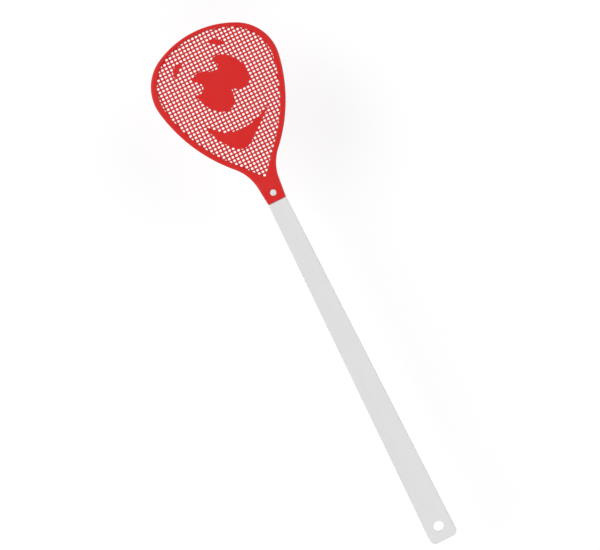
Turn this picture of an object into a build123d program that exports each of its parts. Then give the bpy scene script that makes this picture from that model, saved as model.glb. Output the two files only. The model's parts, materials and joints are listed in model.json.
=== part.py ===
from build123d import *
import math
import os

# A plug-together plastic fly swatter, in millimetres.
# It lies on its back: X runs across it, +Y towards the crown of the head, +Z out of the front face.
# The origin is the middle of its footprint, on the plane that it rests on.
# Two mouldings make it: a stiff light grey handle, and a soft red head that is pushed onto the handle's
# tongue until a round stud clicks into a window in the head's sleeve. The head is one moulding, and it is
# written here as two nodes, the sleeve and the paddle, because its neck bends between them.

# ---- driving dimensions ----
overall_length = 430.0
head_length = 143.0
head_width = 102.4
sleeve_mouth_width = 14.9
handle_end_width = 22.2
handle_thickness = 4.2
sleeve_thickness = 5.2
rim_thickness = 3.6
stud_above_mouth = 6.8
flex_above_stud = 10.8

# ---- head outline: arcs that run into each other without a corner ----
crown_radius = 71.2
shoulder_radius = 33.8
flank_radius = 121.5
flank_start = 9.7
flare_radius = 34.1
neck_taper = 5.8

# ---- window in the rim, which the mesh fills ----
window_crown_radius = 67.5
window_shoulder_radius = 33.0
window_flank_radius = 116.0
rim_width_at_crown = 3.0
rim_width_at_sides = 4.8
window_tip_above_stud = 13.2
window_tip_radius = 0.8

# ---- mesh and the flat patches of the smiling face ----
mesh_pitch_x = 3.1
mesh_pitch_y = 2.855
mesh_hole_x = 1.9
mesh_hole_y = 1.75
mesh_thickness = 1.5
lowest_hole_above_stud = 14.9
smallest_hole_area = 0.35
sheet_overlap = 1.0
hole_ledge = 0.1

# ---- rounding ----
rim_edge_radius = 1.2
sleeve_edge_radius = 0.7
handle_front_edge_radius = 0.8
handle_shoulder_edge_radius = 0.2
handle_back_edge_radius = 0.3
handle_corner_radius = 4.5

# ---- socket and snap ----
tongue_thickness = 2.2
tongue_lift = 1.5
tongue_width = 11.4
tongue_length = 11.3
tongue_clearance = 0.1
pocket_depth = 11.6
stud_radius = 2.45
stud_proud = 0.15
stud_edge_radius = 0.35
window_clearance = 0.12
butt_gap = 0.1
ramp_length = 5.5

# ---- neck hinge that stands in for the bending neck ----
flex_gap = 0.15

# ---- back of the handle ----
face_plate_thickness = 1.6
flange_thickness = 1.5
rib_thickness = 1.2
rib_spacing = 22.5
hanging_hole_radius = 4.0
hanging_hole_from_end = 11.3
hole_boss_wall = 1.8
solid_end_length = 6.0

# ---- stations along Y ----
end_y = -overall_length / 2
crown_y = overall_length / 2
mouth_y = crown_y - head_length
stud_y = mouth_y + stud_above_mouth
flex_y = stud_y + flex_above_stud
hole_y = end_y + hanging_hole_from_end
sleeve_top_y = flex_y - rim_thickness / 2 - flex_gap

REACH = 500.0  # longer than the whole object, for cutting tools


def polar(centre, radius, degrees):
    """The point at that radius and direction from centre."""
    turn = math.radians(degrees)
    return Vector(centre.X + radius * math.cos(turn), centre.Y + radius * math.sin(turn))


def direction(start, end):
    """Direction from start to end, in degrees from +X."""
    return math.degrees(math.atan2(end.Y - start.Y, end.X - start.X))


def egg_centres(top, half_width, crown, shoulder, flank):
    """Centres of the crown, shoulder and flank arcs of the right half, each tangent to the next."""
    crown_centre = Vector(0, top - crown)
    shoulder_x = half_width - shoulder
    rise = math.sqrt((crown - shoulder) ** 2 - shoulder_x**2)
    shoulder_centre = Vector(shoulder_x, crown_centre.Y + rise)
    flank_centre = polar(shoulder_centre, flank - shoulder, 180 - flank_start)
    return crown_centre, shoulder_centre, flank_centre


def egg_arcs(centres, crown, shoulder, flank, flank_end):
    """Crown, shoulder and flank arcs of the right half, from the axis down to the flank's end."""
    crown_centre, shoulder_centre, flank_centre = centres
    shoulder_start = direction(crown_centre, shoulder_centre)
    return [
        CenterArc(crown_centre, crown, 90, shoulder_start - 90),
        CenterArc(shoulder_centre, shoulder, shoulder_start, -flank_start - shoulder_start),
        CenterArc(flank_centre, flank, -flank_start, flank_end + flank_start),
    ]


def both_halves(right, closing=()):
    """A face from the edges of the right half, their mirror images and any closing edges."""
    left = [mirror(edge, about=Plane.YZ) for edge in right]
    return make_face([*right, *left, *closing])


def head_outline():
    """The head from its crown down to the sleeve's mouth."""
    centres = egg_centres(crown_y, head_width / 2, crown_radius, shoulder_radius, flank_radius)
    flank_centre = centres[2]
    mouth = Vector(sleeve_mouth_width / 2, mouth_y)
    up_the_neck = polar(Vector(0, 0), 1, 90 - neck_taper)
    # The flare's centre lies at its radius beside the neck's edge, and touches the flank from outside.
    beside = polar(mouth, flare_radius, -neck_taper)
    to_flank = beside - flank_centre
    along = up_the_neck.X * to_flank.X + up_the_neck.Y * to_flank.Y
    reach = flank_radius + flare_radius
    climb = -along + math.sqrt(along**2 - (to_flank.X**2 + to_flank.Y**2 - reach**2))
    if polar(beside, climb, 90 - neck_taper).Y > flank_centre.Y:
        climb = -along - math.sqrt(along**2 - (to_flank.X**2 + to_flank.Y**2 - reach**2))
    flare_centre = polar(beside, climb, 90 - neck_taper)
    flank_end = direction(flank_centre, flare_centre)
    neck_end = polar(flare_centre, flare_radius, 180 - neck_taper)
    flare = CenterArc(flare_centre, flare_radius, flank_end + 180, -neck_taper - flank_end)
    right = egg_arcs(centres, crown_radius, shoulder_radius, flank_radius, flank_end)
    right += [flare, Line(neck_end, mouth)]
    return both_halves(right, [Line(mouth, Vector(-mouth.X, mouth.Y))])


def window_outline():
    """The window inside the rim: the same arcs, running down to a rounded tip at the neck."""
    centres = egg_centres(
        crown_y - rim_width_at_crown,
        head_width / 2 - rim_width_at_sides,
        window_crown_radius,
        window_shoulder_radius,
        window_flank_radius,
    )
    flank_centre = centres[2]
    tip = Vector(0, stud_y + window_tip_above_stud)
    # The straight side is the tangent from the tip to the flank arc.
    spread = math.degrees(math.acos(window_flank_radius / (tip - flank_centre).length))
    flank_end = direction(flank_centre, tip) + spread
    tangent = polar(flank_centre, window_flank_radius, flank_end)
    right = egg_arcs(
        centres, window_crown_radius, window_shoulder_radius, window_flank_radius, flank_end
    )
    right.append(Line(tangent, tip))
    window = both_halves(right)
    corner = window.vertices().sort_by(Axis.Y)[0]
    return fillet(corner, window_tip_radius)


def crescent(start, outer, inner, end):
    """A sickle between two arcs that share their ends."""
    return make_face([ThreePointArc(start, outer, end), ThreePointArc(end, inner, start)])


def eye(centre, half_width, half_height, lean, glint, glint_radius):
    """A leaning oval with a round bite out of its upper left side."""
    oval = Pos(*centre) * Rot(0, 0, lean) * Ellipse(half_width, half_height)
    return oval - Pos(*glint) * Circle(glint_radius)


def face_patches():
    """Two eyes that overlap, two brows and a grin, as flat shapes."""
    from_stud = Pos(0, stud_y)
    eyes = eye((-6.6, 89.0), 11.8, 18.9, 22, (-17.0, 96.8), 5.0)
    eyes += eye((11.2, 97.3), 10.7, 16.3, 27, (1.3, 106.6), 4.6)
    left_brow = crescent((-26.9, 110.6), (-25.0, 118.4), (-23.2, 115.4), (-17.8, 118.4))
    right_brow = crescent((5.9, 125.7), (12.7, 122.9), (10.8, 120.7), (17.5, 117.1))
    left_end, right_end = (-23.2, 67.0), (26.1, 60.6)
    upper_lip = Spline(left_end, (-12.3, 57.6), (1.5, 54.5), (13.1, 55.8), right_end)
    lower_lip = Spline(right_end, (19.5, 56.6), (9.5, 47.9), (-4.6, 40.0), (-16.0, 49.0), left_end)
    grin = make_face([upper_lip, lower_lip])
    return from_stud * (Sketch() + [eyes, left_brow, right_brow, grin])


def mesh_holes(open_area):
    """The grid of square holes, cut short where a hole meets the rim or a patch of the face."""
    box = open_area.bounding_box()
    columns = math.ceil(box.max.X / mesh_pitch_x)
    rows = math.ceil((box.max.Y - stud_y - lowest_hole_above_stud) / mesh_pitch_y)
    holes = []
    for row in range(rows + 1):
        y = stud_y + lowest_hole_above_stud + row * mesh_pitch_y
        for column in range(-columns, columns + 1):
            square = Pos(column * mesh_pitch_x, y) * Rectangle(mesh_hole_x, mesh_hole_y)
            left = square & open_area
            if left:
                holes += [face for face in left.faces() if face.area > smallest_hole_area]
    return holes


def slab(flat, bottom, top):
    """A flat shape made solid between two heights."""
    return extrude(Pos(0, 0, bottom) * flat, top - bottom, dir=(0, 0, 1))


def make_paddle():
    """The head above its neck: rim, mesh and face, with a round end that turns about the neck's line."""
    middle = rim_thickness / 2
    paddle = slab(head_outline(), 0, rim_thickness)
    paddle = fillet(paddle.edges().filter_by(Plane.XY), rim_edge_radius)
    window = window_outline()
    paddle -= slab(window, -1, rim_thickness + 1)
    # The sheet runs a little way into the rim, so that the two join, and its holes keep off the rim.
    sheet = offset(window, sheet_overlap)
    paddle += slab(sheet, middle - mesh_thickness / 2, middle + mesh_thickness / 2)
    holes = mesh_holes(offset(window, -hole_ledge) - face_patches())
    paddle -= [slab(hole, middle - mesh_thickness, middle + mesh_thickness) for hole in holes]
    above = Pos(0, flex_y + REACH / 2, middle) * Box(REACH, REACH, REACH)
    round_end = Pos(0, flex_y, middle) * Rot(0, 90, 0) * Cylinder(middle, REACH)
    return paddle & (above + round_end)


def make_sleeve():
    """The lower neck: a flat sleeve with a pocket for the tongue and a round window for the stud."""
    side = make_face(
        Polyline(
            (mouth_y, 0),
            (sleeve_top_y, 0),
            (sleeve_top_y, rim_thickness),
            (sleeve_top_y - ramp_length, sleeve_thickness),
            (mouth_y, sleeve_thickness),
            close=True,
        )
    )
    # The side view is drawn in the YZ plane and runs right across the neck.
    across = extrude(Plane.YZ * side, REACH, both=True)
    sleeve = slab(head_outline(), 0, sleeve_thickness) & across
    long_edges = sleeve.edges().filter_by(lambda edge: abs(edge.tangent_at(0.5).Y) > 0.8)
    sleeve = fillet(long_edges, sleeve_edge_radius)
    pocket_height = tongue_thickness + 2 * tongue_clearance
    pocket = Pos(0, mouth_y, tongue_lift - tongue_clearance) * Box(
        tongue_width + 2 * tongue_clearance,
        2 * pocket_depth,
        pocket_height,
        align=(Align.CENTER, Align.CENTER, Align.MIN),
    )
    stud_window = Pos(0, stud_y, tongue_lift + tongue_thickness) * Cylinder(
        stud_radius + window_clearance,
        sleeve_thickness,
        align=(Align.CENTER, Align.CENTER, Align.MIN),
    )
    return sleeve - pocket - stud_window


def handle_outline(inset):
    """The tapering bar seen from the front, drawn in by inset on every side."""
    shoulder_y = mouth_y - butt_gap
    slope = (handle_end_width - sleeve_mouth_width) / 2 / (mouth_y - end_y)
    wide = handle_end_width / 2 - inset
    narrow = sleeve_mouth_width / 2 + slope * butt_gap - inset
    bar = make_face(
        Polyline(
            (-wide, end_y + inset),
            (wide, end_y + inset),
            (narrow, shoulder_y - inset),
            (-narrow, shoulder_y - inset),
            close=True,
        )
    )
    end_corners = bar.vertices().group_by(Axis.Y)[0]
    return fillet(end_corners, handle_corner_radius - inset)


def back_ribs():
    """Spine and cross ribs that stand in the hollow back of the handle, as flat shapes."""
    length = mouth_y - end_y
    ribs = [Pos(0, end_y + length / 2) * Rectangle(rib_thickness, length)]
    count = int((length - hanging_hole_from_end - solid_end_length) / rib_spacing)
    for number in range(1, count + 1):
        y = hole_y + number * rib_spacing
        ribs.append(Pos(0, y) * Rectangle(handle_end_width, rib_thickness))
    ribs.append(Pos(0, hole_y) * Circle(hanging_hole_radius + hole_boss_wall))
    solid_end = Pos(0, mouth_y - solid_end_length / 2)
    ribs.append(solid_end * Rectangle(handle_end_width, solid_end_length))
    return Sketch() + ribs


def make_handle():
    """The stiff bar: plain front, ribbed hollow back, hanging hole, and the tongue with its stud."""
    bar = slab(handle_outline(0), 0, handle_thickness)
    # The shoulder that butts against the sleeve keeps a crisp edge, so that the seam is tight.
    front_edges = bar.faces().sort_by(Axis.Z)[-1].edges().sort_by(Axis.Y)
    bar = fillet(front_edges[:-1], handle_front_edge_radius)
    shoulder_edge = bar.faces().sort_by(Axis.Z)[-1].edges().sort_by(Axis.Y)[-1]
    bar = fillet(shoulder_edge, handle_shoulder_edge_radius)
    bar = fillet(bar.faces().sort_by(Axis.Z)[0].edges(), handle_back_edge_radius)
    hollow = handle_outline(flange_thickness) - back_ribs()
    bar -= slab(hollow, 0, handle_thickness - face_plate_thickness)
    bar -= Pos(0, hole_y) * Cylinder(hanging_hole_radius, REACH)
    root = solid_end_length / 2
    tongue = Pos(0, mouth_y - root, tongue_lift) * Box(
        tongue_width,
        tongue_length + root,
        tongue_thickness,
        align=(Align.CENTER, Align.MIN, Align.MIN),
    )
    tip = tongue.faces().sort_by(Axis.Y)[-1]
    tongue = chamfer(tip.edges(), tongue_thickness / 4)
    stud_top = sleeve_thickness + stud_proud
    stud_bottom = tongue_lift + tongue_thickness / 2
    stud = Pos(0, stud_y, stud_bottom) * Cylinder(
        stud_radius, stud_top - stud_bottom, align=(Align.CENTER, Align.CENTER, Align.MIN)
    )
    stud = fillet(stud.edges().sort_by(Axis.Z)[-1], stud_edge_radius)
    return bar + tongue + stud


os.makedirs("parts", exist_ok=True)
nodes = {
    "handle": make_handle(),
    "head_sleeve": make_sleeve(),
    "head_paddle": make_paddle(),
}
for name, shape in nodes.items():
    export_step(shape, f"parts/{name}.step")
    print(name, "volume", round(shape.volume), "mm3")
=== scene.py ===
import json
import math

import bmesh
import bpy
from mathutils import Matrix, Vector


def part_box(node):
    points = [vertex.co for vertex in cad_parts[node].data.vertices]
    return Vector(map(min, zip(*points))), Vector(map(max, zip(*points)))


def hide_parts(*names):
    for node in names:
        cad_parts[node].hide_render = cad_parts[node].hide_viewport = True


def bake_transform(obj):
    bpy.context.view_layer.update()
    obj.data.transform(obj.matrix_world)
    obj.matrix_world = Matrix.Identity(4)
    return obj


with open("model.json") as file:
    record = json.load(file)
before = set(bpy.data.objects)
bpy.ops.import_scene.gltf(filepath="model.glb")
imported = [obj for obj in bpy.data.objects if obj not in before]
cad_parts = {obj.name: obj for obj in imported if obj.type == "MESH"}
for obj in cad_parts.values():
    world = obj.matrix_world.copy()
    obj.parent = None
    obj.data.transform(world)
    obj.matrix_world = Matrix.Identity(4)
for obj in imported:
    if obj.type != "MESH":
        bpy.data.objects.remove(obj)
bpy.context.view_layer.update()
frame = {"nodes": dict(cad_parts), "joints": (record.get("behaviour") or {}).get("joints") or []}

mm = 0.001
up = Vector((0, 0, 1))
near = 0.01 * mm  # places closer than this count as the same
hairline = 0.001 * mm  # a cut this close to a vertex goes through it
studAboveMouth = 6.8 * mm
crownAboveStud = 136.2 * mm
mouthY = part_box("head_sleeve")[0].y
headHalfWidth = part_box("head_paddle")[1].x
hinge = Vector(frame["joints"][0]["pos_m"])
studY = mouthY + studAboveMouth
crownY = studY + crownAboveStud


def deselectAll():
    if bpy.context.object and bpy.context.object.mode != "OBJECT":
        bpy.ops.object.mode_set(mode="OBJECT")
    bpy.ops.object.select_all(action="DESELECT")


def takeUp(piece):
    deselectAll()
    piece.select_set(True)
    bpy.context.view_layer.objects.active = piece


def openMesh(piece):
    takeUp(piece)
    bpy.ops.object.mode_set(mode="EDIT")


def closeMesh():
    bpy.ops.object.mode_set(mode="OBJECT")


# selects what passes the test, in edit mode, and says how many that is
def choose(piece, pick, test):
    bpy.ops.mesh.select_mode(type=pick)
    bpy.ops.mesh.select_all(action="DESELECT")
    mesh = bmesh.from_edit_mesh(piece.data)
    mesh.normal_update()
    parts = {"VERT": mesh.verts, "EDGE": mesh.edges, "FACE": mesh.faces}[pick]
    chosen = [part for part in parts if test(part)]
    for part in chosen:
        part.select_set(True)
    bmesh.update_edit_mesh(piece.data)
    return len(chosen)


def named(name):
    piece = bpy.context.object
    piece.name = name
    piece.data.name = name
    bpy.ops.object.transform_apply(location=True, rotation=True, scale=True)
    return piece


def finishWith(piece, kind, **settings):
    takeUp(piece)
    bpy.ops.object.modifier_add(type=kind)
    modifier = piece.modifiers[-1]
    for key, value in settings.items():
        setattr(modifier, key, value)
    bpy.ops.object.modifier_apply(modifier=modifier.name)


# joins, cuts or keeps the common part of two closed shapes, and uses up the second;
# an open or folded tool changes nothing, and that has to stop the script
def combine(piece, tool, operation):
    before = len(piece.data.vertices)
    finishWith(piece, "BOOLEAN", operation=operation, object=tool, solver="MANIFOLD")
    if len(piece.data.vertices) in (0, before):
        raise RuntimeError(f"{tool.name} left {piece.name} as it was")
    bpy.data.objects.remove(tool, do_unlink=True)


# a flat line drawn from one point by spinning it round centres and pulling it straight
def drawLine(name, start, runs):
    deselectAll()
    bpy.ops.mesh.primitive_plane_add(size=mm, location=start)
    piece = named(name)
    openMesh(piece)
    bpy.ops.mesh.select_mode(type="VERT")
    bpy.ops.mesh.select_all(action="SELECT")
    bpy.ops.mesh.merge(type="CENTER")
    for run in runs:
        if "centre" in run:
            turn = -math.radians(run["degrees"])  # spin counts clockwise as positive
            bpy.ops.mesh.spin(steps=run["steps"], angle=turn, center=run["centre"], axis=up)
        else:
            bpy.ops.mesh.extrude_region_move(TRANSFORM_OT_translate={"value": run["pull"]})
    closeMesh()
    return piece


def mirrorAcross(piece):
    finishWith(piece, "MIRROR", use_axis=(True, False, False), merge_threshold=near)


# fills a closed line and pulls it up into a plate between two heights
def makePlate(piece, low, high):
    openMesh(piece)
    bpy.ops.mesh.select_all(action="SELECT")
    bpy.ops.mesh.remove_doubles(threshold=near / 2)
    bpy.ops.mesh.edge_face_add()
    bpy.ops.transform.translate(value=(0, 0, low))
    bpy.ops.mesh.extrude_region_move(TRANSFORM_OT_translate={"value": (0, 0, high - low)})
    bpy.ops.mesh.select_all(action="SELECT")
    bpy.ops.mesh.normals_make_consistent(inside=False)
    closeMesh()
    return piece


# how far along an axis a face's normal points, for the tests below
lean = {"upright": 0.2, "sloping": 0.8, "facing": 0.99, "level": 0.999}


def isUpright(face):
    return abs(face.normal.z) < lean["upright"]


def isLevel(face):
    return abs(face.normal.z) > lean["level"]


# an edge where a level face meets an upright one
def isArris(edge):
    faces = edge.link_faces
    if len(faces) != 2:
        return False
    return any(isUpright(f) for f in faces) and any(isLevel(f) for f in faces)


def middleOf(edge):
    return (edge.verts[0].co + edge.verts[1].co) / 2


# the head: a rim with rounded edges, a mesh sheet with a smiling face left solid in it,
# and a neck that ends in a flat sleeve for the handle's tongue
headRim = {
    "crownRadius": 71.2 * mm,
    "shoulderRadius": 33.8 * mm,
    "flankRadius": 121.5 * mm,
    "flankStart": 9.7,  # degrees below the widest point
    "flareRadius": 34.1 * mm,
    "neckTaper": 5.8,  # degrees off the handle's line
    "mouthWidth": 14.9 * mm,
    "thickness": 3.6 * mm,
    "edgeRadius": 1.15 * mm,
    "edgeSteps": 5,
    "stepsPerArc": 14,
    "smoothBelow": 32,  # degrees; sharper corners stay crisp
}

window = {
    "crownRadius": 67.5 * mm,
    "shoulderRadius": 33.0 * mm,
    "flankRadius": 116.0 * mm,
    "flankStart": 9.7,
    "rimAtCrown": 3.0 * mm,
    "rimAtSides": 4.8 * mm,
    "tipAboveStud": 13.2 * mm,
    "tipRadius": 0.8 * mm,
    "tipSteps": 6,
    "innerEdge": 0.6 * mm,
    "stepsPerArc": 14,
    "cutLow": -1.0 * mm,
    "cutHigh": 5.0 * mm,
}

sleeve = {
    "thickness": 5.2 * mm,
    "rampTop": 1.9 * mm,  # above the hinge line, where the neck is as thin as the rim
    "rampFoot": -7.4 * mm,
    "rampSteps": 12,
    "mouthRounding": 0.3 * mm,
    "pocketWidth": 11.6 * mm,
    "pocketDepth": 11.6 * mm,
    "pocketLow": 1.4 * mm,
    "pocketHigh": 3.8 * mm,
    "studWindowRadius": 2.57 * mm,
    "studWindowEdge": 0.2 * mm,
    "studWindowSides": 48,
    "studCutMiddle": 1.5 * mm,  # above the pocket's roof
    "studCutDepth": 4.0 * mm,
}

meshSheet = {
    "pitchAcross": 3.1 * mm,
    "pitchAlong": 2.855 * mm,
    "barAlong": 1.15 * mm,
    "lowestHoleAboveStud": 14.9 * mm,
    "thickness": 1.5 * mm,
    "cornerRadius": 0.42 * mm,
    "barChamfer": 0.43 * mm,  # draft and rounding of the bars, front and back
    "columns": 33,
    "rows": 44,
    "leastOpenShare": 0.12,  # a hole with less than this inside the window is left shut
    "intoRim": 1.0 * mm,
}


def along(centre, radius, degrees):
    turn = math.radians(degrees)
    return Vector((centre.x + radius * math.cos(turn), centre.y + radius * math.sin(turn), 0))


def heading(start, end):
    return math.degrees(math.atan2(end.y - start.y, end.x - start.x))


def eggCentres(shape, top, halfWidth):
    crown = Vector((0, top - shape["crownRadius"], 0))
    shoulderX = halfWidth - shape["shoulderRadius"]
    reach = shape["crownRadius"] - shape["shoulderRadius"]
    shoulder = Vector((shoulderX, crown.y + math.sqrt(reach**2 - shoulderX**2), 0))
    reach = shape["flankRadius"] - shape["shoulderRadius"]
    flank = along(shoulder, reach, 180 - shape["flankStart"])
    return crown, shoulder, flank


# crown, shoulder and flank of the right half, each arc tangent to the next
def eggRuns(shape, centres, flankEnd):
    crown, shoulder, flank = centres
    shoulderStart = heading(crown, shoulder)
    flankStart = -shape["flankStart"]
    steps = shape["stepsPerArc"]
    return [
        {"centre": crown, "degrees": shoulderStart - 90, "steps": steps},
        {"centre": shoulder, "degrees": flankStart - shoulderStart, "steps": 2 * steps},
        {"centre": flank, "degrees": flankEnd - flankStart, "steps": 2 * steps},
    ]


def drawHeadOutline():
    centres = eggCentres(headRim, crownY, headHalfWidth)
    flank = centres[2]
    flare = headRim["flareRadius"]
    taper = headRim["neckTaper"]
    mouth = Vector((headRim["mouthWidth"] / 2, mouthY, 0))
    # the flare touches the flank from outside and the neck's straight edge
    beside = along(mouth, flare, -taper)
    upNeck = along(Vector(), 1, 90 - taper)
    toFlank = beside - flank
    half = upNeck.dot(toFlank)
    reach = headRim["flankRadius"] + flare
    root = math.sqrt(half**2 - (toFlank.length_squared - reach**2))
    climbs = [-half + root, -half - root]
    flareCentre = min((beside + upNeck * climb for climb in climbs), key=lambda c: abs(c.y - mouthY))
    flankEnd = heading(flank, flareCentre)
    neckEnd = along(flareCentre, flare, 180 - taper)
    runs = eggRuns(headRim, centres, flankEnd)
    runs.append({"centre": flareCentre, "degrees": -taper - flankEnd, "steps": headRim["stepsPerArc"]})
    runs.append({"pull": mouth - neckEnd})
    runs.append({"pull": Vector((-mouth.x, 0, 0))})
    outline = drawLine("head", Vector((0, crownY, 0)), runs)
    mirrorAcross(outline)
    return outline


def windowArcs():
    top = crownY - window["rimAtCrown"]
    centres = eggCentres(window, top, headHalfWidth - window["rimAtSides"])
    tip = Vector((0, studY + window["tipAboveStud"], 0))
    spread = math.degrees(math.acos(window["flankRadius"] / (tip - centres[2]).length))
    flankEnd = heading(centres[2], tip) + spread
    return top, centres, tip, flankEnd


# grow pushes the window's line outwards, for the edge of the sheet that sits inside the rim
def drawWindow(name, grow):
    top, centres, tip, flankEnd = windowArcs()
    shape = dict(window)
    for radius in ("crownRadius", "shoulderRadius", "flankRadius"):
        shape[radius] += grow
    tipRadius = window["tipRadius"]
    tipCentre = tip + Vector((0, tipRadius / math.sin(math.radians(-flankEnd)), 0))
    sideEnd = along(tipCentre, tipRadius + grow, flankEnd)
    runs = eggRuns(shape, centres, flankEnd)
    runs.append({"pull": sideEnd - along(centres[2], shape["flankRadius"], flankEnd)})
    runs.append({"centre": tipCentre, "degrees": -90 - flankEnd, "steps": window["tipSteps"]})
    line = drawLine(name, Vector((0, top + grow, 0)), runs)
    mirrorAcross(line)
    return line


def makeWindowTool(name, grow):
    return makePlate(drawWindow(name, grow), window["cutLow"], window["cutHigh"])


def insideWindow(x, y):
    top, (crown, shoulder, flank), tip, flankEnd = windowArcs()
    x = abs(x)
    here = Vector((x, y, 0))
    if heading(crown, here) > heading(crown, shoulder):
        return (here - crown).length < window["crownRadius"]
    if heading(shoulder, here) > -window["flankStart"]:
        return (here - shoulder).length < window["shoulderRadius"]
    if heading(flank, here) > flankEnd:
        return (here - flank).length < window["flankRadius"]
    normal = along(Vector(), 1, flankEnd)
    return (here - tip).dot(normal) < 0


# the face's solid patches, in millimetres from the stud
face = {
    "raise": 0.1 * mm,  # stands this far off the bars on both sides
    "edge": 0.08 * mm,
    "shortestEdge": 0.25 * mm,
    "eyeSides": 72,
    "glintSides": 40,
    "glintDepth": 8.0 * mm,
    "browSteps": 14,
    "lipSteps": 8,
    "eyes": [
        {
            "centre": (-6.6, 89.0),
            "half": (12.1, 18.7),
            "lean": 22,
            "glint": (-16.9, 96.4),
            "glintRadius": 4.9,
        },
        {
            "centre": (11.5, 97.0),
            "half": (10.85, 16.6),
            "lean": 27,
            "glint": (2.2, 106.2),
            "glintRadius": 3.4,
        },
    ],
    "brows": [
        {"ends": ((-28.3, 110.4), (-17.8, 118.4)), "outer": (-25.6, 117.8), "inner": (-23.0, 115.0)},
        {"ends": ((5.4, 124.7), (17.7, 117.1)), "outer": (13.1, 123.7), "inner": (10.6, 120.6)},
    ],
    "upperLip": [(-12.6, 57.1), (1.5, 54.5), (13.1, 55.9), (20.6, 59.1)],
    "lowerLip": [(20.3, 56.2), (9.5, 47.9), (-4.6, 40.0), (-16.0, 49.0), (-21.9, 59.6)],
    "mouthEnds": [(-23.2, 67.0), (27.2, 62.4)],
}
faceHalf = meshSheet["thickness"] / 2 + face["raise"]
sheetMiddle = headRim["thickness"] / 2


def faceSpot(point):
    return Vector((point[0] * mm, studY + point[1] * mm, 0))


def makeEye(eye):
    deselectAll()
    bpy.ops.mesh.primitive_cylinder_add(
        vertices=face["eyeSides"],
        radius=mm,
        depth=2 * faceHalf,
        location=faceSpot(eye["centre"]) + up * sheetMiddle,
        rotation=(0, 0, math.radians(eye["lean"])),
        scale=(*eye["half"], 1),
    )
    patch = named("eyePatch")
    deselectAll()
    bpy.ops.mesh.primitive_cylinder_add(
        vertices=face["glintSides"],
        radius=eye["glintRadius"] * mm,
        depth=face["glintDepth"],
        location=faceSpot(eye["glint"]),
    )
    combine(patch, named("glintCutter"), "DIFFERENCE")
    # the cut leaves bits of edge at its corners that are shorter than their own chamfer
    openMesh(patch)
    bpy.ops.mesh.select_all(action="SELECT")
    bpy.ops.mesh.remove_doubles(threshold=face["shortestEdge"])
    closeMesh()
    return patch


# centre and turn of the arc from start to end by way of a middle point
def arcThrough(start, middle, end, steps):
    a, b, c = (Vector(p[:2]) for p in (start, middle, end))
    ab, ac = b - a, c - a
    cross = 2 * (ab.x * ac.y - ab.y * ac.x)
    x = (ac.y * ab.length_squared - ab.y * ac.length_squared) / cross
    y = (ab.x * ac.length_squared - ac.x * ab.length_squared) / cross
    centre = Vector((a.x + x, a.y + y, 0))
    degrees = heading(centre, end) - heading(centre, start)
    sign = 1 if cross > 0 else -1
    while degrees * sign < 0:
        degrees += 360 * sign
    while abs(degrees) > 360:
        degrees -= 360 * sign
    return {"centre": centre, "degrees": degrees, "steps": steps}


def makePatch(line):
    return makePlate(line, sheetMiddle - faceHalf, sheetMiddle + faceHalf)


def makeBrow(brow):
    start, end = (faceSpot(p) for p in brow["ends"])
    runs = [
        arcThrough(start, faceSpot(brow["outer"]), end, face["browSteps"]),
        arcThrough(end, faceSpot(brow["inner"]), start, face["browSteps"]),
    ]
    return makePatch(drawLine("browPatch", start, runs))


# the grin's two lips are smooth lines that meet in a point at both ends
def makeGrin():
    left, right = face["mouthEnds"]
    deselectAll()
    bpy.ops.curve.primitive_bezier_curve_add(location=(0, 0, 0))
    curve = bpy.context.object
    curve.data.splines.clear()
    for points in ([left, *face["upperLip"], right], [right, *face["lowerLip"], left]):
        lip = curve.data.splines.new("BEZIER")
        lip.bezier_points.add(len(points) - 1)
        lip.resolution_u = face["lipSteps"]
        for knot, point in zip(lip.bezier_points, points):
            knot.co = faceSpot(point)
            knot.handle_left_type = knot.handle_right_type = "AUTO"
    bpy.ops.object.convert(target="MESH")
    return makePatch(named("grinPatch"))


def softenPatch(patch):
    openMesh(patch)
    choose(patch, "EDGE", isArris)
    bpy.ops.mesh.bevel(offset=face["edge"], segments=1, affect="EDGES", loop_slide=False)
    closeMesh()
    return patch


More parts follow.
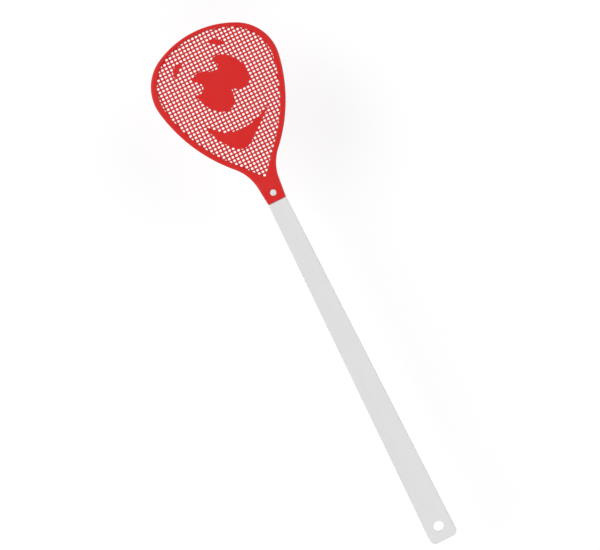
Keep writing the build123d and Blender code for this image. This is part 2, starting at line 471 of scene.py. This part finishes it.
# the grid of bars: cells are inset and opened, given a thickness, and rounded
def makeSheet():
    pitch = meshSheet["pitchAlong"]
    columns, rows = meshSheet["columns"], meshSheet["rows"]
    bottomRowY = studY + meshSheet["lowestHoleAboveStud"] - pitch
    deselectAll()
    bpy.ops.mesh.primitive_grid_add(x_subdivisions=columns, y_subdivisions=rows, size=2)
    sheet = named("meshSheet")
    openMesh(sheet)
    bpy.ops.mesh.select_all(action="SELECT")
    bpy.ops.transform.resize(value=(columns * pitch / 2, rows * pitch / 2, 1), center_override=(0, 0, 0))
    middleY = bottomRowY + (rows - 1) * pitch / 2
    bpy.ops.transform.translate(value=(0, middleY, sheetMiddle + meshSheet["thickness"] / 2))
    stretch = meshSheet["pitchAcross"] / pitch
    holeHalfY = (pitch - meshSheet["barAlong"]) / 2
    holeHalfX = holeHalfY * stretch

    def openShare(cell):
        centre = cell.calc_center_median()
        shares = [-0.8, -0.4, 0, 0.4, 0.8]
        acrosses = [centre.x * stretch + share * holeHalfX for share in shares]
        alongs = [centre.y + share * holeHalfY for share in shares]
        spots = [insideWindow(x, y) for x in acrosses for y in alongs]
        return sum(spots) / len(spots)

    def isHoleCorner(edge):
        bottom, top = edge.verts
        return abs(bottom.co.z - top.co.z) > mm and len(edge.link_faces) == 2

    opened = choose(sheet, "FACE", lambda cell: openShare(cell) > meshSheet["leastOpenShare"])
    bpy.ops.mesh.inset(thickness=meshSheet["barAlong"] / 2, use_individual=True)
    bpy.ops.mesh.delete(type="FACE")
    bpy.ops.mesh.select_all(action="SELECT")
    bpy.ops.transform.resize(value=(stretch, 1, 1), center_override=(0, 0, 0))
    closeMesh()
    finishWith(sheet, "SOLIDIFY", thickness=meshSheet["thickness"], offset=-1)
    openMesh(sheet)
    choose(sheet, "EDGE", isHoleCorner)
    bpy.ops.mesh.bevel(offset=meshSheet["cornerRadius"], segments=2, affect="EDGES")
    choose(sheet, "EDGE", isArris)
    bpy.ops.mesh.bevel(offset=meshSheet["barChamfer"], segments=1, affect="EDGES")
    closeMesh()
    print("scene: mesh sheet with", opened, "holes,", len(sheet.data.polygons), "faces")
    return sheet


def makeNeckAndRim():
    thickness = headRim["thickness"]
    head = makePlate(drawHeadOutline(), 0, thickness)
    rampTop = hinge.y + sleeve["rampTop"]
    reach = sleeve["rampTop"] - sleeve["rampFoot"]
    # cuts across the neck, at even steps and at each corner of the outline
    levels = [rampTop - reach * i / sleeve["rampSteps"] for i in range(sleeve["rampSteps"] + 1)]
    corners = [v.co for v in head.data.vertices if v.co.x > 0 and v.co.z > near]
    levels += [corner.y for corner in corners if rampTop - reach < corner.y < rampTop]
    openMesh(head)
    for y in levels:
        bpy.ops.mesh.select_all(action="SELECT")
        bpy.ops.mesh.bisect(plane_co=(0, y, 0), plane_no=(0, 1, 0), threshold=hairline)

    # the neck swells evenly from the rim's thickness to the sleeve's, with no edge across it
    for y in [*levels, mouthY]:
        share = (1 - math.cos(math.pi * min(1, (rampTop - y) / reach))) / 2
        rise = (sleeve["thickness"] - thickness) * share
        choose(head, "VERT", lambda v: abs(v.co.z - thickness) < near and abs(v.co.y - y) < near)
        bpy.ops.transform.translate(value=(0, 0, rise))

    def isLongEdge(edge):
        faces = edge.link_faces
        if middleOf(edge).y < mouthY + near or not any(isUpright(f) for f in faces):
            return False
        return any(abs(f.normal.z) > lean["sloping"] for f in faces)

    choose(head, "EDGE", isLongEdge)
    bpy.ops.mesh.bevel(offset=headRim["edgeRadius"], segments=headRim["edgeSteps"], affect="EDGES")
    closeMesh()
    return head


# small roundings round the window, the stud's window and the sleeve's mouth
def softenHead(head):
    stud = Vector((0, studY, 0))

    def isStudEdge(edge):
        spot = middleOf(edge)
        inRing = (spot - stud).xy.length < sleeve["studWindowRadius"] + near
        return abs(spot.z - sleeve["thickness"]) < near and inRing

    def isWindowEdge(edge):
        spot = middleOf(edge)
        level = min(abs(spot.z), abs(spot.z - headRim["thickness"])) < near
        return level and spot.y > hinge.y and isArris(edge)

    def isMouthEdge(edge):
        onMouth = all(abs(v.co.y - mouthY) < near for v in edge.verts)
        return onMouth and len({-f.normal.y > lean["facing"] for f in edge.link_faces}) == 2

    openMesh(head)
    choose(head, "EDGE", isStudEdge)
    bpy.ops.mesh.bevel(offset=sleeve["studWindowEdge"], segments=2, affect="EDGES", loop_slide=False)
    choose(head, "EDGE", isWindowEdge)
    bpy.ops.mesh.bevel(offset=window["innerEdge"], segments=4, affect="EDGES", loop_slide=False)
    choose(head, "EDGE", isMouthEdge)
    bpy.ops.mesh.bevel(offset=sleeve["mouthRounding"], segments=2, affect="EDGES")
    closeMesh()


def makeHead():
    head = makeNeckAndRim()
    combine(head, makeWindowTool("windowCutter", 0), "DIFFERENCE")
    deselectAll()
    pocketHeight = sleeve["pocketHigh"] - sleeve["pocketLow"]
    bpy.ops.mesh.primitive_cube_add(
        size=1,
        location=(0, mouthY, sleeve["pocketLow"] + pocketHeight / 2),
        scale=(sleeve["pocketWidth"], 2 * sleeve["pocketDepth"], pocketHeight),
    )
    combine(head, named("pocketCutter"), "DIFFERENCE")
    deselectAll()
    bpy.ops.mesh.primitive_cylinder_add(
        vertices=sleeve["studWindowSides"],
        radius=sleeve["studWindowRadius"],
        depth=sleeve["studCutDepth"],
        location=(0, studY, sleeve["pocketHigh"] + sleeve["studCutMiddle"]),
    )
    combine(head, named("studWindowCutter"), "DIFFERENCE")
    softenHead(head)
    print("scene: rim, neck and sleeve,", len(head.data.polygons), "faces")
    return head


neck = {
    "bendStart": -5.0 * mm,  # from the hinge line towards the handle, past the tongue's tip
    "bendEnd": 5.0 * mm,
    "cut": 0.8 * mm,
}


# even cuts across the neck let the one moulding bend where the hinge line is
def cutNeck(head):
    openMesh(head)
    y = hinge.y + neck["bendStart"]
    while y < hinge.y + neck["bendEnd"]:
        choose(head, "FACE", lambda f: min(v.co.y for v in f.verts) < y < max(v.co.y for v in f.verts))
        bpy.ops.mesh.bisect(plane_co=(0, y, 0), plane_no=(0, 1, 0), threshold=hairline)
        y += neck["cut"]
    closeMesh()


def toLinear(hexColour):
    channels = [int(hexColour[i:i + 2], 16) / 255 for i in (0, 2, 4)]
    return [c / 12.92 if c <= 0.04045 else ((c + 0.055) / 1.055) ** 2.4 for c in channels] + [1]


def addNode(material, kind, settings=None, links=None):
    node = material.node_tree.nodes.new(kind)
    for key, value in (settings or {}).items():
        if key in node.inputs:
            node.inputs[key].default_value = value
        else:
            setattr(node, key, value)
    for key, socket in (links or {}).items():
        material.node_tree.links.new(socket, node.inputs[key])
    return node


# injection-moulded plastic: colour that drifts a little where the melt flowed,
# a satin skin with handling marks, and a faint ripple from the mould's surface
def makeMoulded(name, finish):
    material = bpy.data.materials.new(name)
    material.use_nodes = True
    nodes = material.node_tree.nodes
    nodes.clear()
    place = addNode(material, "ShaderNodeTexCoord").outputs["Object"]
    stretched = addNode(
        material,
        "ShaderNodeMapping",
        {"Scale": (1, finish["flowStretch"], 1)},
        {"Vector": place},
    )
    flow = addNode(
        material,
        "ShaderNodeTexNoise",
        {"Scale": 1 / finish["flowWidth"], "Detail": 4, "Roughness": 0.55, "Distortion": 0.6},
        {"Vector": stretched.outputs["Vector"]},
    )
    colour = addNode(
        material,
        "ShaderNodeMixRGB",
        {"Color1": toLinear(finish["dark"]), "Color2": toLinear(finish["light"])},
        {"Fac": flow.outputs["Fac"]},
    )
    handling = addNode(
        material,
        "ShaderNodeTexNoise",
        {"Scale": 1 / finish["markSize"], "Detail": 6, "Roughness": 0.7},
        {"Vector": place},
    )
    satin = addNode(
        material,
        "ShaderNodeMapRange",
        {
            "From Min": finish["markRange"][0],
            "From Max": finish["markRange"][1],
            "To Min": finish["roughness"][0],
            "To Max": finish["roughness"][1],
        },
        {"Value": handling.outputs["Fac"]},
    )
    ripple = addNode(
        material,
        "ShaderNodeTexNoise",
        {"Scale": 1 / finish["grainSize"], "Detail": 3, "Roughness": 0.6},
        {"Vector": place},
    )
    skin = addNode(
        material,
        "ShaderNodeBump",
        {"Strength": finish["grainStrength"], "Distance": finish["grainDepth"]},
        {"Height": ripple.outputs["Fac"]},
    )
    shader = addNode(
        material,
        "ShaderNodeBsdfPrincipled",
        {"IOR": finish["ior"], "Metallic": 0, "Specular IOR Level": finish["shine"]},
        {
            "Base Color": colour.outputs["Color"],
            "Roughness": satin.outputs["Result"],
            "Normal": skin.outputs["Normal"],
        },
    )
    addNode(material, "ShaderNodeOutputMaterial", {}, {"Surface": shader.outputs["BSDF"]})
    return material


redPolyethylene = {
    "dark": "C01411",
    "light": "CA1815",
    "shine": 0.38,  # the waxy skin reflects less than polished plastic does
    "roughness": (0.36, 0.46),
    "ior": 1.51,
    "flowWidth": 9 * mm,
    "flowStretch": 0.18,  # flow marks run along the moulding
    "markSize": 14 * mm,
    "markRange": (0.3, 0.75),
    "grainSize": 0.7 * mm,  # the mould's real grain is about 0.1 mm, too fine to show
    "grainDepth": 0.02 * mm,
    "grainStrength": 0.5,
}

greyPolypropylene = {
    "dark": "CBCBCB",
    "light": "D1D1D1",
    "shine": 0.45,
    "roughness": (0.42, 0.55),
    "ior": 1.49,
    "flowWidth": 12 * mm,
    "flowStretch": 0.18,
    "markSize": 18 * mm,
    "markRange": (0.3, 0.75),
    "grainSize": 0.8 * mm,  # drawn coarser than the real 0.1 mm grain
    "grainDepth": 0.02 * mm,
    "grainStrength": 0.5,
}


def paint(piece, material):
    piece.data.materials.clear()
    piece.data.materials.append(material)


head = makeHead()
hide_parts("head_sleeve", "head_paddle")
sheet = makeSheet()
combine(sheet, makeWindowTool("sheetTrimmer", meshSheet["intoRim"]), "INTERSECT")
for eye in face["eyes"]:
    combine(sheet, softenPatch(makeEye(eye)), "UNION")
for brow in face["brows"]:
    combine(sheet, softenPatch(makeBrow(brow)), "UNION")
combine(sheet, softenPatch(makeGrin()), "UNION")
combine(head, sheet, "UNION")
print("scene: head joined,", len(head.data.polygons), "faces")
cutNeck(head)
takeUp(head)
bpy.ops.object.shade_smooth_by_angle(angle=math.radians(headRim["smoothBelow"]))
finishWith(head, "WEIGHTED_NORMAL", keep_sharp=True)
paint(head, makeMoulded("redMouldedPolyethylene", redPolyethylene))
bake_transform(head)
paint(frame["nodes"]["handle"], makeMoulded("greyMouldedPolypropylene", greyPolypropylene))
print("scene: plastics done")

studio = {
    "floorSize": 60,  # metres, so that its far edge never shows
    "floorDrop": 78 * mm,  # leaves room for the head when the neck is bent right back
    "floorColour": "858585",
    "floorRoughness": 0.9,
    "floorShine": 0.1,
    "floorGlow": 0.74,  # a lit table top, which keeps the mesh holes bright
    "skyStrength": 0.2,
    # softboxes in a ring round the camera, their bearings, heights and widths in degrees
    "lamps": [
        {"name": "keyLight", "bearing": 145, "height": 45, "strength": 2.0, "width": 40},
        {"name": "fillLight", "bearing": 10, "height": 42, "strength": 1.35, "width": 50},
        {"name": "rearLight", "bearing": 250, "height": 42, "strength": 1.2, "width": 50},
    ],
}


def makeStudio():
    deselectAll()
    bpy.ops.mesh.primitive_plane_add(size=studio["floorSize"], location=(0, 0, -studio["floorDrop"]))
    floor = named("floor")
    material = bpy.data.materials.new("paleFloor")
    material.use_nodes = True
    shader = material.node_tree.nodes["Principled BSDF"]
    shader.inputs["Base Color"].default_value = toLinear(studio["floorColour"])
    shader.inputs["Roughness"].default_value = studio["floorRoughness"]
    shader.inputs["Specular IOR Level"].default_value = studio["floorShine"]
    shader.inputs["Emission Color"].default_value = (1, 1, 1, 1)
    shader.inputs["Emission Strength"].default_value = studio["floorGlow"]
    paint(floor, material)
    world = bpy.data.worlds.new("studioWalls")
    bpy.context.scene.world = world
    world.use_nodes = True
    world.node_tree.nodes["Background"].inputs["Color"].default_value = (1, 1, 1, 1)
    world.node_tree.nodes["Background"].inputs["Strength"].default_value = studio["skyStrength"]
    for lamp in studio["lamps"]:
        tilt = math.radians(90 - lamp["height"])
        bearing = math.radians(lamp["bearing"])
        deselectAll()
        bpy.ops.object.light_add(type="SUN", rotation=(0, tilt, bearing))
        softbox = bpy.context.object
        softbox.name = lamp["name"]
        softbox.data.energy = lamp["strength"]
        softbox.data.angle = math.radians(lamp["width"])
    bpy.context.scene.view_settings.view_transform = "Standard"


view = {
    "turn": -26.4,  # degrees; the crown leans to the upper left
    "aim": (-9.6 * mm, 13.8 * mm),
    "width": 455.0 * mm,  # what the camera takes in from side to side at the focus height
    "focusHeight": 4.2 * mm,
    "lens": 120,
    "sensor": 36,
}


def makeCamera():
    height = view["focusHeight"] + view["width"] * view["lens"] / view["sensor"]
    deselectAll()
    bpy.ops.object.camera_add(
        location=(*view["aim"], height),
        rotation=(0, 0, math.radians(view["turn"])),
    )
    camera = bpy.context.object
    camera.name = "camera"
    camera.data.lens = view["lens"]
    camera.data.sensor_width = view["sensor"]
    camera.data.clip_end = studio["floorSize"]
    bpy.context.scene.camera = camera


makeStudio()
makeCamera()
print("scene: studio and camera done")
